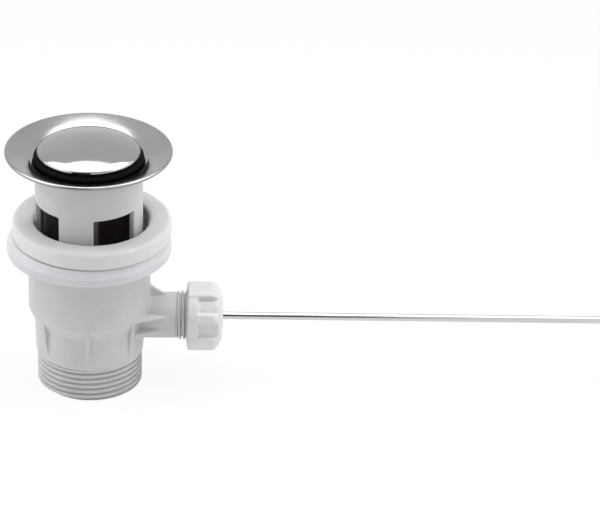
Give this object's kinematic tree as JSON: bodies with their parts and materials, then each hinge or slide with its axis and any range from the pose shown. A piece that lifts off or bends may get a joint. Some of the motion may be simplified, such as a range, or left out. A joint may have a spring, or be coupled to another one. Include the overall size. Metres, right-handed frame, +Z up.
{
  "type": "pop up basin waste",
  "caption": "Pop-up basin waste: dished steel flange and plug on a slotted overflow sleeve, with clamping gasket, ribbed plastic body, threaded outlet and a side lever that lifts the plug.",
  "frame": {"origin": "centre of the outlet's end face, on the waste's axis", "axes": "+Z up along the waste's axis from the outlet to the plug, +X along the lever rod"},
  "size_m": [0.249, 0.066, 0.1065],
  "materials": {
    "body_plastic": "moulded, satin light grey",
    "sleeve_plastic": "moulded, satin grey",
    "nut_plastic": "moulded, satin light grey",
    "ring_plastic": "moulded, lilac white",
    "gasket_foam_rubber": "soft, matt off-white",
    "stainless": "polished stainless sheet",
    "polished_rod": "polished round bar",
    "black_rubber": "matt black",
    "grey_rubber": "matt grey",
    "dark_plastic": "moulded, dark brown-black",
    "white_plastic": "moulded, natural white",
    "brass": "turned"
  },
  "bodies": {
    "base": {"body": "body_plastic", "overflow_sleeve": "sleeve_plastic", "sleeve_o_ring": "black_rubber", "flange": "stainless", "flange_seal": "grey_rubber", "backing_ring": "ring_plastic", "basin_gasket": "gasket_foam_rubber", "inner_ball_seat": "white_plastic", "ball_seal": "black_rubber", "thrust_washer": "white_plastic", "spigot_nut": "nut_plastic"},
    "lever": {"lever_rod": "polished_rod", "pivot_ball": "white_plastic"},
    "plug": {"plug_cap": "stainless", "plug_seal": "black_rubber", "plug_guide": "dark_plastic", "adjusting_screw": "brass", "adjusting_lock_nut": "brass"}
  },
  "joints": [
    {"name": "lever_tilt", "type": "hinge", "parent": "base", "child": "lever", "pos_m": [0.0455, 0, 0.0283], "axis": [0, 1, 0], "range_deg": [0, 10.5]},
    {"name": "plug_lift", "type": "slide", "parent": "base", "child": "plug", "axis": [0, 0, 1], "range_m": [0, 0.0086]}
  ],
  "couplings": [
    {"joint": "plug_lift", "follows": "lever_tilt", "m_per_rad": 0.0465}
  ]
}
